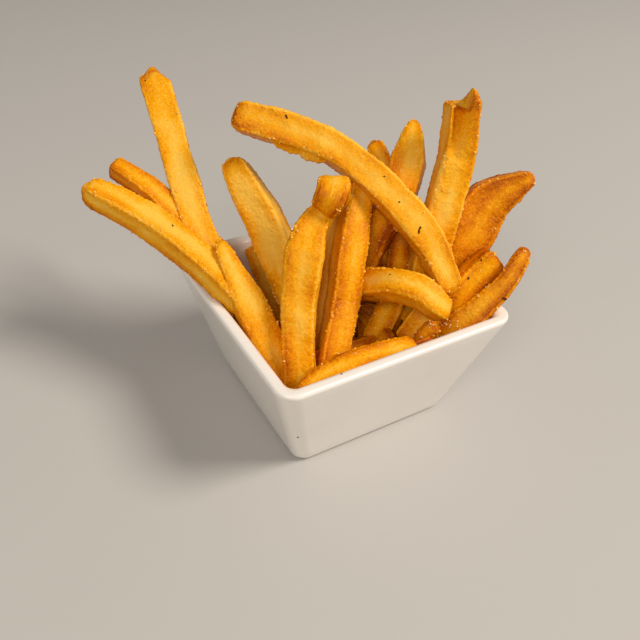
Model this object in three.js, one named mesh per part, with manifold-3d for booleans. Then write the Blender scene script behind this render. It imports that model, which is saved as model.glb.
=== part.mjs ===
import * as THREE from 'three';
import { mergeVertices } from 'three/addons/utils/BufferGeometryUtils.js';
import Module from 'manifold-3d';

// A portion of battered fries standing in a small square porcelain bowl.
// Millimetres, +Z up. The origin is the centre of the bowl's underside. The bowl's front face
// looks along -Y and its left face along -X.

// Bowl
const RIM_WIDTH = 100;
const BASE_WIDTH = 70;
const BOWL_HEIGHT = 52;
const WALL = 5;
const FLOOR = 6;
const RIM_CORNER = 7.5;
const BASE_CORNER = 6;
const INNER_CORNER = 4;
const RIM_ROUND = 1.9;
const FLOOR_ROUND = 6;
const FOOT_INSET = 2.4;
const FOOT_HEIGHT = 0.8;
const BASE_ROUND = 1.6;
const CORNER_STEPS = 5;
const ROUND_STEPS = 3;

// Heap of fries
const DISH_GAP = 0.35;
const CORE_TOP = 21;
const CORE_CROWN = 4;
const CORE_OVERLAP = 1;
const CORE_LEVELS = 2;
const CORNER_CUT = 0.22;
const END_STEP = 0.3;
const CAP_SHARE = 0.3;
const SLANT_REACH = 0.35;
const HORN_REACH = 0.6;
const ARC_STEPS = 240;
const CRUST_UNEVEN = 0.35;
const CRUST_SEED = 11;

// Short fries lying over the core, below the rim
const BED_COUNT = 9;
const BED_LENGTH = 44;
const BED_WIDE = 10.5;
const BED_HEIGHT = 25;
const BED_RISE = 5;
const BED_LEAN = 0.5;
const BED_RADIUS = 15;
const GOLDEN_ANGLE = 137.5;

// The way each fry's broad face is turned when its turn is 0: towards the front, the left and up
const OUTLOOK = new THREE.Vector3(-0.42, -0.67, 0.61).normalize();

// Each fry runs through its points from the tip down to the foot. wide and deep are its section
// at those points, turn the twist of its broad face in degrees, and soft and blunt the length of
// the rounded tip and the share of the section left at its very end; foot sets the same two for
// the other end. slant tilts the tip across its width, horns raise points of it, and step is the
// distance between sections.
const FRY = { deep: 11, turn: 0, soft: 4, blunt: 0.8, foot: [4, 0.8], slant: 0, step: 13, horns: [] };
const FRIES = {
  low_left: {
    through: [[-75.9, 62.6, 80.7], [-58.8, 47.2, 70.8], [-46.5, 23, 62], [-37, 4, 51]],
    wide: [10, 12, 11.5, 12], deep: [9.5, 11, 10.5, 11], turn: -40, soft: 7, blunt: 0.5,
  },
  behind_low: {
    through: [[-63.2, 68.9, 84.9], [-53, 57.2, 77.3], [-45.5, 46, 68], [-35, 32, 56]],
    wide: [7, 9.5, 10, 10], deep: [7, 9, 9, 9], turn: -32, soft: 3, blunt: 0.6,
  },
  tall_left: {
    through: [[-36.1, 91.1, 108.3], [-38.5, 65.5, 88], [-40, 38, 64], [-36, 20, 46]],
    wide: [12.9, 12.3, 12, 12], deep: 10, turn: -8, soft: 3, slant: 1.2,
    horns: [[-0.1, 0.1, 5.5], [-0.5, 0.28, -4], [-0.5, -0.28, -4]],
  },
  front_left: {
    through: [[-39.2, 22.4, 68.3], [-37, 5, 54], [-33, -13, 34], [-30, -20, 24]],
    wide: [4.6, 12.5, 13, 12], deep: [5, 10, 11, 11], turn: -18, soft: 6, blunt: 0.5,
  },
  small_dark: {
    through: [[-17.7, 40.9, 50.1], [-14.7, 35.7, 41.7], [-12.5, 29.2, 28.7], [-11.4, 24.6, 19.4]],
    wide: [5.5, 8.5, 8.5, 8.5], deep: 5, turn: 10,
  },
  bevelled: {
    through: [[-23.6, 45.2, 89.3], [-17.2, 32.7, 71.8], [-13.7, 15.2, 52.3], [-10.6, -0.4, 34]],
    wide: [10, 14.2, 14.8, 14.5], deep: [9, 11, 12, 12], turn: [8, 16, 24, 26], soft: 5, blunt: 0.55,
  },
  knobbed: {
    through: [
      [0.1, 5.9, 93.1], [-1.6, 3.6, 91.4], [-3.6, 1.8, 89.1], [-5.5, 3.3, 83.5], [-9.7, 2.7, 79.5],
      [-16.4, -3, 71.6], [-22.4, -10.2, 56.3], [-25.5, -15.8, 45.5], [-27.6, -21.2, 33.3],
      [-28.3, -23.2, 25.7],
    ],
    wide: [11.4, 12.8, 12.4, 8.8, 10.4, 12.8, 13, 12.4, 12, 12],
    deep: [9.5, 12.8, 13, 6.6, 9, 11.5, 11.5, 11.5, 11.5, 11], turn: [6, 4, 0, 0, 0, 0, 0, 0, 0, 0],
    soft: 2, blunt: 0.84, step: 5,
  },
  upright: {
    through: [[16, 14, 84], [4.5, 0, 66], [-2.2, -8.5, 50], [-11.5, -18.5, 36], [-17, -25, 24]],
    wide: [11, 12.5, 12.6, 11, 11], turn: [-30, -26, -22, -16, -16],
  },
  arched: {
    through: [
      [-20.6, 45.8, 106.8], [-5.3, 34.3, 102.9], [9.5, 21.5, 97], [23, 1, 84], [30, -14, 72],
      [31.5, -31.5, 58],
    ],
    wide: [11.3, 12.3, 11.3, 12.3, 12, 9], deep: [10, 11, 11, 11, 11, 9], turn: [6, 4, 0, -4, -4, -4],
    soft: 5, blunt: 0.62, step: 10,
  },
  little_tip: {
    through: [[35, 32.5, 91], [34.8, 19, 80], [34.5, 8, 66], [32, 2, 46]],
    wide: [8, 8.5, 9.5, 9.5], deep: [7, 7, 8, 8], turn: 6, blunt: 0.6,
  },
  flame: {
    through: [[44, 18.5, 104], [36.9, 10.8, 92.1], [30, 6.3, 78.9], [21.1, 7.6, 60.9], [13, 6.1, 42.4]],
    wide: [5, 13.5, 14, 12.5, 12], deep: [6, 11, 12, 11, 11], turn: 10, blunt: 0.5,
  },
  tall_right: {
    through: [[47.5, -2.5, 117], [48.5, -3, 98], [40.5, -8.5, 74.5], [33, -11, 46]],
    wide: [11.5, 13, 13.5, 13], deep: [11, 12, 12, 12], turn: -8, soft: 2, blunt: 0.88,
    horns: [[-0.3, 0.1, 6.6], [0.42, 0.2, 1.4]],
  },
  wide_right: {
    through: [
      [75.4, -17.9, 89.6], [61.2, -12.3, 79.6], [50.6, -14.2, 68.5], [42.5, -14.5, 58.5],
      [35.5, -14.5, 48.5],
    ],
    wide: [6, 18, 20.5, 14, 8], deep: [8, 9, 9, 8, 7], turn: -12, blunt: 0.6,
  },
  curled: {
    through: [
      [7.2, -0.6, 48.6], [10.9, -8.2, 52.7], [13.7, -19.4, 58.7], [19.4, -27.6, 58.5],
      [22.6, -32.2, 55.6], [27.3, -34.6, 51.2],
    ],
    wide: [10.5, 11.5, 11.5, 11.3, 10.5, 8.5], deep: [10, 10, 10, 10, 9.5, 8], turn: -22, soft: 2,
    foot: [3, 0.65], step: 7,
  },
  stub_right: {
    through: [[53.3, -28.8, 65.6], [44.5, -28.5, 58], [35, -29, 49], [31.4, -21.5, 31]],
    wide: [11.5, 12, 12, 12], turn: -15, soft: 2, blunt: 0.85,
  },
  front_right: {
    through: [[60.5, -36.7, 71.2], [49.2, -38.7, 59.9], [32.5, -34.5, 45], [29.2, -27.8, 33.9]],
    wide: [5.5, 7.4, 8.3, 9], deep: [6, 7.5, 8, 8], turn: 10, soft: 3, blunt: 0.6,
  },
  rim_side: {
    through: [
      [-36.9, -37.3, 40.4], [-28.3, -36.8, 41.9], [-17.8, -36.4, 42.9], [-3.6, -37.5, 43.3],
      [5.2, -37.8, 42.4], [11.1, -38.1, 41.3],
    ],
    wide: [6, 8.5, 10.5, 10.5, 10, 9], deep: [6, 8.5, 10, 10, 10, 9], turn: -30, soft: 4, blunt: 0.5,
    foot: [3, 0.7],
  },
  inner_a: { through: [[28.6, -1, 40.1], [14, -12.7, 27]], wide: 9.5, deep: 9, turn: 40 },
  inner_b: {
    through: [[35.8, -24.1, 49], [29.1, -24.1, 44.4], [18, -23.3, 31.1]],
    wide: 10, deep: 9, turn: 10,
  },
  salty_end: { through: [[27.7, -30.9, 42.6], [22.3, -28.8, 34.6]], wide: 7.5, deep: 7, turn: 20 },
  inner_c: { through: [[7.1, 13.2, 76.9], [1.2, 8.3, 65.8], [-13.9, -10.6, 29.8]], wide: 10, deep: 9 },
  behind_flame: { through: [[52, 34, 79], [44, 27, 66], [35, 19, 50]], wide: 11, deep: 10 },
  back_corner: { through: [[46, 46, 64], [38, 37, 52], [28, 27, 34]], wide: 11, deep: 10 },
  right_low: { through: [[35.5, -8, 45], [35.5, 30, 42]], wide: 10, deep: 10 },
  back_low: { through: [[-4, 35.5, 38], [30, 35.5, 43]], wide: 11, deep: 10 },
  under_rim_side: { through: [[-28, -33, 33], [24, -33, 34]], wide: 10.5, deep: 10 },
  under_right: { through: [[31, -27, 26], [31, 12, 26]], wide: 10.5, deep: 10 },
  under_left: { through: [[-31.5, -18, 31], [-31, 20, 28]], wide: 10, deep: 10 },
  under_middle: { through: [[-22, -4, 27], [20, -23, 26]], wide: 10.5, deep: 10 },
};

const wasm = await Module();
wasm.setup();

// A seeded stream of numbers from 0 to 1
function randomFrom(seed) {
  let state = seed;
  return () => {
    state = (state * 1664525 + 1013904223) % 4294967296;
    return state / 4294967296;
  };
}

// Closes a stack of rings with the same number of points, anticlockwise about the stack's
// direction, into one surface with a fan over each end
function closedLoft(rings) {
  const count = rings[0].length;
  const centreOf = (ring) => {
    const centre = new THREE.Vector3();
    ring.forEach((point) => centre.addScaledVector(point, 1 / count));
    return centre;
  };
  const points = [...rings.flat(), centreOf(rings[0]), centreOf(rings.at(-1))];
  const lastRing = (rings.length - 1) * count;
  const startCentre = points.length - 2;
  const endCentre = points.length - 1;
  const faces = [];
  for (let side = 0; side < count; side += 1) {
    const next = (side + 1) % count;
    for (let start = 0; start < lastRing; start += count) {
      const end = start + count;
      faces.push(start + side, start + next, end + next);
      faces.push(start + side, end + next, end + side);
    }
    faces.push(startCentre, next, side);
    faces.push(endCentre, lastRing + side, lastRing + next);
  }
  const geometry = new THREE.BufferGeometry().setFromPoints(points);
  geometry.setIndex(faces);
  return geometry;
}

function toSolid(geometry) {
  const merged = mergeVertices(geometry);
  const vertProperties = new Float32Array(merged.attributes.position.array);
  const triVerts = new Uint32Array(merged.index.array);
  return new wasm.Manifold(new wasm.Mesh({ numProp: 3, vertProperties, triVerts }));
}

// One level ring of a square with rounded corners
function roundedSquare(halfWidth, corner, height) {
  const ring = [];
  const inner = halfWidth - corner;
  for (let quarter = 0; quarter < 4; quarter += 1) {
    const middle = (quarter + 0.5) * Math.PI / 2;
    const centreX = Math.sign(Math.cos(middle)) * inner;
    const centreY = Math.sign(Math.sin(middle)) * inner;
    for (let step = 0; step <= CORNER_STEPS; step += 1) {
      const angle = (quarter + step / CORNER_STEPS) * Math.PI / 2;
      ring.push(new THREE.Vector3(
        centreX + corner * Math.cos(angle),
        centreY + corner * Math.sin(angle),
        height,
      ));
    }
  }
  return ring;
}

function outerHalfWidth(height) {
  return THREE.MathUtils.lerp(BASE_WIDTH, RIM_WIDTH, height / BOWL_HEIGHT) / 2;
}

// The bowl as rings from its foot up the outside, over the rim and down the inside to the floor.
// grow thickens it all round, for the space that the fries keep clear.
function bowlGeometry(grow) {
  const rings = [];
  const outerRing = (inset, height) => {
    const corner = THREE.MathUtils.lerp(BASE_CORNER, RIM_CORNER, height / BOWL_HEIGHT);
    rings.push(roundedSquare(outerHalfWidth(height) - inset + grow, corner - inset + grow, height));
  };
  const innerRing = (inset, height) => {
    const corner = Math.max(INNER_CORNER, inset - WALL) - grow;
    rings.push(roundedSquare(outerHalfWidth(height) - inset - grow, corner, height));
  };
  const rimTop = BOWL_HEIGHT + grow;
  outerRing(FOOT_INSET, -grow);
  outerRing(FOOT_INSET, FOOT_HEIGHT);
  outerRing(FOOT_INSET - BASE_ROUND / 2, FOOT_HEIGHT);
  outerRing(0, FOOT_HEIGHT + BASE_ROUND);
  for (let step = 0; step <= ROUND_STEPS; step += 1) {
    const angle = step / ROUND_STEPS * Math.PI / 2;
    outerRing(RIM_ROUND * (1 - Math.cos(angle)), rimTop - RIM_ROUND * (1 - Math.sin(angle)));
  }
  for (let step = 0; step <= ROUND_STEPS; step += 1) {
    const angle = step / ROUND_STEPS * Math.PI / 2;
    innerRing(WALL - RIM_ROUND * (1 - Math.sin(angle)), rimTop - RIM_ROUND * (1 - Math.cos(angle)));
  }
  for (let step = 0; step <= ROUND_STEPS; step += 1) {
    const angle = step / ROUND_STEPS * Math.PI / 2;
    const height = FLOOR + grow + FLOOR_ROUND * (1 - Math.sin(angle));
    innerRing(WALL + FLOOR_ROUND * (1 - Math.cos(angle)), height);
  }
  return closedLoft(rings);
}

// A value given once, or at each of a fry's points, at a share of the way from tip to foot
function valueAlong(values, shares, share) {
  if (!Array.isArray(values)) {
    return values;
  }
  let place = 0;
  while (place < shares.length - 2 && share > shares[place + 1]) {
    place += 1;
  }
  const part = (share - shares[place]) / (shares[place + 1] - shares[place]);
  return THREE.MathUtils.lerp(values[place], values[place + 1], THREE.MathUtils.clamp(part, 0, 1));
}

// How far a rounded end has grown to the full section at a distance from it
function endScale(distance, length, blunt) {
  const left = Math.max(0, 1 - distance / length);
  return blunt + (1 - blunt) * Math.sqrt(1 - left * left);
}

// Where a fry's sections are, in millimetres from its tip
function stationsOf(length, soft, footSoft, stepLength) {
  const middle = Math.max(2, Math.round((length - soft - footSoft) / stepLength));
  const stations = [0, soft * END_STEP];
  for (let step = 0; step <= middle; step += 1) {
    stations.push(THREE.MathUtils.lerp(soft, length - footSoft, step / middle));
  }
  stations.push(length - footSoft * END_STEP, length);
  return stations;
}

// A fry: an eight-sided section, a rectangle with its corners cut, swept from foot to tip, with
// one small ring inside the tip for the form of its end
function fryGeometry(shape, random) {
  const fry = { ...FRY, ...shape };
  const points = fry.through.map((place) => new THREE.Vector3(...place));
  const curve = new THREE.CatmullRomCurve3(points, false, 'centripetal');
  curve.arcLengthDivisions = ARC_STEPS;
  const lengths = curve.getLengths(ARC_STEPS);
  const length = lengths.at(-1);
  const shares = points.map((point, index) => {
    const step = Math.round(index / (points.length - 1) * ARC_STEPS);
    return lengths[step] / length;
  });
  const [footSoft, footBlunt] = fry.foot;
  const flat = 0.5 - CORNER_CUT;
  const section = [
    [0.5, -flat], [0.5, flat], [flat, 0.5], [-flat, 0.5],
    [-0.5, flat], [-0.5, -flat], [-flat, -0.5], [flat, -0.5],
  ];
  const ringAt = (distance, size) => {
    const share = THREE.MathUtils.clamp(distance / length, 0, 1);
    const centre = curve.getPointAt(share);
    const along = curve.getTangentAt(share).negate();
    const facing = OUTLOOK.clone().addScaledVector(along, -OUTLOOK.dot(along)).normalize();
    const turn = THREE.MathUtils.degToRad(valueAlong(fry.turn, shares, share));
    facing.applyAxisAngle(along, -turn);
    const across = new THREE.Vector3().crossVectors(facing, along);
    const tip = endScale(distance, fry.soft, fry.blunt);
    const foot = endScale(length - distance, footSoft, footBlunt);
    const scale = Math.min(tip, foot);
    const wide = valueAlong(fry.wide, shares, share) * scale;
    const deep = valueAlong(fry.deep, shares, share) * scale;
    const nearTip = Math.max(0, 1 - share / SLANT_REACH);
    return section.map(([side, face]) => {
      const u = side * size;
      const v = face * size;
      const uneven = CRUST_UNEVEN * (random() - 0.5);
      const horn = fry.horns.reduce((sum, [hornU, hornV, rise]) => {
        const away = Math.hypot(u - hornU, v - hornV);
        return sum + rise * Math.max(0, 1 - away / HORN_REACH);
      }, 0);
      const hornShare = Math.max(0, 1 - distance / (fry.soft + 1));
      return centre.clone()
        .addScaledVector(across, u * wide + uneven)
        .addScaledVector(facing, v * deep + uneven)
        .addScaledVector(along, 2 * fry.slant * u * nearTip + horn * hornShare);
    });
  };
  const stations = stationsOf(length, fry.soft, footSoft, fry.step);
  const rings = stations.map((distance) => ringAt(distance, 1));
  return closedLoft([ringAt(0, CAP_SHARE), ...rings].reverse());
}

// The packed bottom of the heap, with a low crown
function coreGeometry() {
  const rings = [];
  for (let level = 0; level <= CORE_LEVELS; level += 1) {
    const height = THREE.MathUtils.lerp(FLOOR - CORE_OVERLAP, CORE_TOP, level / CORE_LEVELS);
    rings.push(roundedSquare(outerHalfWidth(height) - WALL + CORE_OVERLAP, INNER_CORNER, height));
  }
  rings.push(roundedSquare(outerHalfWidth(0) / 2, INNER_CORNER, CORE_TOP + CORE_CROWN));
  return closedLoft(rings);
}

// The short fries over the core: they turn by the golden angle and lean on each other
function bedFries(random) {
  const bed = [];
  for (let index = 0; index < BED_COUNT; index += 1) {
    const angle = THREE.MathUtils.degToRad(index * GOLDEN_ANGLE);
    const lean = BED_LEAN * (random() - 0.5);
    const height = BED_HEIGHT + BED_RISE * (random() - 0.5);
    const centre = new THREE.Vector3(BED_RADIUS * Math.cos(angle), BED_RADIUS * Math.sin(angle), height);
    const direction = new THREE.Vector3(-Math.sin(angle), Math.cos(angle), lean).normalize();
    const tip = centre.clone().addScaledVector(direction, BED_LENGTH / 2);
    const foot = centre.clone().addScaledVector(direction, -BED_LENGTH / 2);
    bed.push({ through: [tip.toArray(), foot.toArray()], wide: BED_WIDE, deep: BED_WIDE });
  }
  return bed;
}

// The largest connected outer shell of a solid, which leaves out loose scraps and sealed hollows
function largestShell(solid) {
  const { vertProperties, triVerts } = solid.getMesh();
  const parent = Array.from({ length: vertProperties.length / 3 }, (_, index) => index);
  const rootOf = (index) => {
    let root = index;
    while (parent[root] !== root) {
      parent[root] = parent[parent[root]];
      root = parent[root];
    }
    return root;
  };
  const volumes = new Map();
  const corner = (index) => new THREE.Vector3().fromArray(vertProperties, 3 * index);
  for (let start = 0; start < triVerts.length; start += 3) {
    parent[rootOf(triVerts[start])] = rootOf(triVerts[start + 1]);
    parent[rootOf(triVerts[start + 1])] = rootOf(triVerts[start + 2]);
  }
  for (let start = 0; start < triVerts.length; start += 3) {
    const [a, b, c] = [0, 1, 2].map((step) => corner(triVerts[start + step]));
    const root = rootOf(triVerts[start]);
    volumes.set(root, (volumes.get(root) ?? 0) + a.dot(b.cross(c)) / 6);
  }
  const [largest] = [...volumes].sort((first, second) => second[1] - first[1])[0];
  const faces = [];
  for (let start = 0; start < triVerts.length; start += 3) {
    if (rootOf(triVerts[start]) === largest) {
      faces.push(triVerts[start], triVerts[start + 1], triVerts[start + 2]);
    }
  }
  const geometry = new THREE.BufferGeometry();
  geometry.setAttribute('position', new THREE.BufferAttribute(new Float32Array(vertProperties), 3));
  geometry.setIndex(faces);
  return geometry;
}

// The fries fused with the core and trimmed to clear the bowl
function heapGeometry() {
  const random = randomFrom(CRUST_SEED);
  const pieces = [...Object.values(FRIES), ...bedFries(random)];
  let heap = toSolid(coreGeometry());
  for (const piece of pieces) {
    heap = heap.add(toSolid(fryGeometry(piece, random)));
  }
  return largestShell(heap.subtract(toSolid(bowlGeometry(DISH_GAP))));
}

const bowl = new THREE.Mesh(
  bowlGeometry(0),
  new THREE.MeshStandardMaterial({ color: '#ece4d8', roughness: 0.12, metalness: 0 }),
);
bowl.name = 'bowl';

const fries = new THREE.Mesh(
  heapGeometry(),
  new THREE.MeshStandardMaterial({ color: '#e59a2a', roughness: 0.6, metalness: 0 }),
);
fries.name = 'fries';

const portion = new THREE.Group();
portion.add(bowl, fries);

export default portion;
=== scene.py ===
import math

import bmesh
import bpy
import numpy as np
from mathutils import Euler, Matrix, Vector
from mathutils.bvhtree import BVHTree


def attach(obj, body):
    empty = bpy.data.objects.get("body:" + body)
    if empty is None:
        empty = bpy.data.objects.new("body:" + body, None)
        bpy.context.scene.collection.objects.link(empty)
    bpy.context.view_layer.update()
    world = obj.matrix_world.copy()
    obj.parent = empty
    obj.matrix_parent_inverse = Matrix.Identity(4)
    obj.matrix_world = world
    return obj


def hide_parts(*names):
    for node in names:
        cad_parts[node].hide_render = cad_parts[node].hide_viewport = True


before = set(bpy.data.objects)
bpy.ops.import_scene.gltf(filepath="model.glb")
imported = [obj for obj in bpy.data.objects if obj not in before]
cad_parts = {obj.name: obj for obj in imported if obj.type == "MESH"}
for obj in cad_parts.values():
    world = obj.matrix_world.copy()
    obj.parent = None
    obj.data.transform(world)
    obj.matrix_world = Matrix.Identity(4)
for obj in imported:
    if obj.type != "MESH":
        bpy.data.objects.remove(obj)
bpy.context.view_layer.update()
scene = bpy.context.scene

# ---------------------------------------------------------------------------------------------
# Studio: a pale floor, one large soft lamp high on the right, a weak one on the left and a
# low warm sky. The camera looks down on the bowl's front corner.

CAMERA_PLACE = Vector((-0.12335, -0.18693, 0.20607))
CAMERA_DOWN = 0.6577
CAMERA_YAW = 0.5582
CAMERA_ROLL = 0.0533
CAMERA_NEAREST = 0.01
SENSOR_WIDTH = 36.0
FRAME_PIXELS = 640
FOCAL_PIXELS = 690
FLOOR_SIZE = 6.0
FLOOR_COLOUR = (0.485, 0.46, 0.432, 1)
FLOOR_ROUGHNESS = 0.7
SKY_COLOUR = (1.0, 0.965, 0.92, 1)
SKY_STRENGTH = 0.26
LAMPS = {
    "key": {"place": (1.15, -1.0, 1.75), "size": 0.85, "watts": 44.5, "colour": (1.0, 0.94, 0.86)},
    "fill": {"place": (-1.30, -1.20, 1.50), "size": 1.20, "watts": 21.7, "colour": (1.0, 0.95, 0.88)},
}
LAMP_TARGET = Vector((0.0, 0.0, 0.05))


def add_object(name, data):
    made = bpy.data.objects.new(name, data)
    scene.collection.objects.link(made)
    return made


def plug(tree, node, inputs):
    """Gives each input of a node its value, or a wire where the value is a node's output."""
    for socket, value in inputs.items():
        if isinstance(value, bpy.types.NodeSocket):
            tree.links.new(value, node.inputs[socket])
        else:
            node.inputs[socket].default_value = value


def new_material(name):
    """A material, its node tree and the shader in it."""
    material = bpy.data.materials.new(name)
    material.use_nodes = True
    return material, material.node_tree, material.node_tree.nodes["Principled BSDF"]


camera = add_object("camera", bpy.data.cameras.new("camera"))
camera.data.sensor_width = SENSOR_WIDTH
camera.data.lens = FOCAL_PIXELS / FRAME_PIXELS * SENSOR_WIDTH
camera.data.clip_start = CAMERA_NEAREST
look = Euler((math.pi / 2 - CAMERA_DOWN, 0, -CAMERA_YAW)).to_matrix()
turn = look @ Matrix.Rotation(CAMERA_ROLL, 3, "Z")
camera.matrix_world = Matrix.Translation(CAMERA_PLACE) @ turn.to_4x4()
scene.camera = camera

for lamp_name, lamp in LAMPS.items():
    light = bpy.data.lights.new(lamp_name, "AREA")
    light.shape = "DISK"
    light.size = lamp["size"]
    light.energy = lamp["watts"]
    light.color = lamp["colour"]
    holder = add_object(lamp_name, light)
    holder.location = lamp["place"]
    holder.rotation_euler = (LAMP_TARGET - holder.location).to_track_quat("-Z", "Y").to_euler()

sky = bpy.data.worlds.new("sky")
sky.use_nodes = True
plug(sky.node_tree, sky.node_tree.nodes["Background"], {"Color": SKY_COLOUR, "Strength": SKY_STRENGTH})
scene.world = sky
scene.view_settings.view_transform = "Standard"

floor_mesh = bpy.data.meshes.new("floor")
reach = FLOOR_SIZE / 2
floor_corners = [(-reach, -reach, 0), (reach, -reach, 0), (reach, reach, 0), (-reach, reach, 0)]
floor_mesh.from_pydata(floor_corners, [], [(0, 1, 2, 3)])
floor = add_object("floor", floor_mesh)
floor_paint, tree, shader = new_material("floor_paint")
plug(tree, shader, {"Base Color": FLOOR_COLOUR, "Roughness": FLOOR_ROUGHNESS})
floor_mesh.materials.append(floor_paint)

# ---------------------------------------------------------------------------------------------
# Bowl: slip-cast porcelain, a tapered square with soft corners. The glaze covers it all but
# the foot pad, which is ground flat and left bare where it stood in the kiln.

MM = 0.001
RIM_WIDTH = 100 * MM
BASE_WIDTH = 70 * MM
BOWL_HEIGHT = 52 * MM
WALL = 5 * MM
FLOOR_LEVEL = 6 * MM
RIM_CORNER = 7.5 * MM
BASE_CORNER = 6 * MM
INNER_CORNER = 4 * MM
RIM_ROUND = 1.9 * MM
FLOOR_ROUND = 6 * MM
FOOT_INSET = 2.4 * MM
FOOT_HEIGHT = 0.8 * MM
GLAZE_END = FOOT_HEIGHT * 0.9
BASE_ROUND = 1.6 * MM
BOWL_CORNER_STEPS = 14
BOWL_ROUND_STEPS = 8
BOWL_WALL_STEPS = 10
GLAZE_COLOUR = (0.835, 0.782, 0.718, 1)
GLAZE_POOL_COLOUR = (0.777, 0.709, 0.631, 1)
BISQUE_COLOUR = (0.72, 0.64, 0.55, 1)
GLAZE_ROUGHNESS = 0.22
BISQUE_ROUGHNESS = 0.85
POOLS_PER_METRE = 28
POOL_RANGE = (0.45, 0.75, 0.0, 0.5)
RIPPLES_PER_METRE = 90
RIPPLE_STRENGTH = 0.12
RIPPLE_HEIGHT = 0.4 * MM


def outer_half_width(height):
    return (BASE_WIDTH + (RIM_WIDTH - BASE_WIDTH) * height / BOWL_HEIGHT) / 2


def rounded_square(half_width, corner, height):
    ring = []
    for quarter in range(4):
        middle = (quarter + 0.5) * math.pi / 2
        centre_x = math.copysign(half_width - corner, math.cos(middle))
        centre_y = math.copysign(half_width - corner, math.sin(middle))
        for step in range(BOWL_CORNER_STEPS + 1):
            angle = (quarter + step / BOWL_CORNER_STEPS) * math.pi / 2
            x = centre_x + corner * math.cos(angle)
            y = centre_y + corner * math.sin(angle)
            ring.append((x, y, height))
    return ring


def outer_ring(inset, height):
    corner = BASE_CORNER + (RIM_CORNER - BASE_CORNER) * height / BOWL_HEIGHT
    return rounded_square(outer_half_width(height) - inset, corner - inset, height)


def inner_ring(inset, height):
    corner = max(INNER_CORNER, inset - WALL)
    return rounded_square(outer_half_width(height) - inset, corner, height)


def quarter_turn():
    """The sine and cosine of each angle of a rounded edge, from 0 to 90 degrees."""
    angles = [step / BOWL_ROUND_STEPS * math.pi / 2 for step in range(BOWL_ROUND_STEPS + 1)]
    return [(math.sin(angle), math.cos(angle)) for angle in angles]


def closed_loft(name, rings):
    """A closed mesh through rings of equal size, with a fan over each end."""
    count = len(rings[0])
    points = [point for ring in rings for point in ring]
    last = (len(rings) - 1) * count
    start_centre = len(points)
    points.append(np.mean(rings[0], axis=0).tolist())
    points.append(np.mean(rings[-1], axis=0).tolist())
    faces = []
    for side in range(count):
        following = (side + 1) % count
        for start in range(0, last, count):
            end = start + count
            faces.append((start + side, start + following, end + following, end + side))
        faces.append((start_centre, following, side))
        faces.append((start_centre + 1, last + side, last + following))
    mesh = bpy.data.meshes.new(name)
    mesh.from_pydata(points, [], faces)
    mesh.shade_smooth()
    return mesh


base_inset = FOOT_INSET - BASE_ROUND / 2
wall_low = FOOT_HEIGHT + BASE_ROUND
wall_high = BOWL_HEIGHT - RIM_ROUND
inner_low = FLOOR_LEVEL + FLOOR_ROUND
bowl_rings = [
    outer_ring(FOOT_INSET, 0),
    outer_ring(FOOT_INSET, GLAZE_END),
    outer_ring(FOOT_INSET, FOOT_HEIGHT),
    outer_ring(base_inset, FOOT_HEIGHT),
]
for sine, cosine in quarter_turn():
    bowl_rings.append(outer_ring(base_inset * (1 - sine), FOOT_HEIGHT + BASE_ROUND * (1 - cosine)))
for step in range(1, BOWL_WALL_STEPS):
    bowl_rings.append(outer_ring(0, wall_low + (wall_high - wall_low) * step / BOWL_WALL_STEPS))
for sine, cosine in quarter_turn():
    bowl_rings.append(outer_ring(RIM_ROUND * (1 - cosine), BOWL_HEIGHT - RIM_ROUND * (1 - sine)))
for sine, cosine in quarter_turn():
    bowl_rings.append(inner_ring(WALL - RIM_ROUND * (1 - sine), BOWL_HEIGHT - RIM_ROUND * (1 - cosine)))
for step in range(1, BOWL_WALL_STEPS):
    bowl_rings.append(inner_ring(WALL, wall_high + (inner_low - wall_high) * step / BOWL_WALL_STEPS))
for sine, cosine in quarter_turn():
    bowl_rings.append(inner_ring(WALL + FLOOR_ROUND * (1 - cosine), FLOOR_LEVEL + FLOOR_ROUND * (1 - sine)))
porcelain_bowl = add_object("porcelain_bowl", closed_loft("porcelain_bowl", bowl_rings))


def add_node(tree, kind, inputs, **settings):
    node = tree.nodes.new(kind)
    for setting, value in settings.items():
        setattr(node, setting, value)
    plug(tree, node, inputs)
    return node


def noise(tree, vector, scale, detail=2.0, rough=0.5):
    return add_node(tree, "ShaderNodeTexNoise", {
        "Vector": vector, "Scale": scale, "Detail": detail, "Roughness": rough,
    }).outputs["Fac"]


def remap(tree, value, low, high, to_low=0.0, to_high=1.0):
    """A value stretched from one range to another, and kept inside it."""
    return add_node(tree, "ShaderNodeMapRange", {
        "Value": value, "From Min": low, "From Max": high, "To Min": to_low, "To Max": to_high,
    }).outputs["Result"]


def blend(tree, share, first, second):
    inputs = {"Factor": share, "A": first, "B": second}
    return add_node(tree, "ShaderNodeMix", inputs, data_type="RGBA").outputs["Result"]


def bumps(tree, height, strength, distance):
    inputs = {"Height": height, "Strength": strength, "Distance": distance}
    return add_node(tree, "ShaderNodeBump", inputs).outputs["Normal"]


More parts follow.
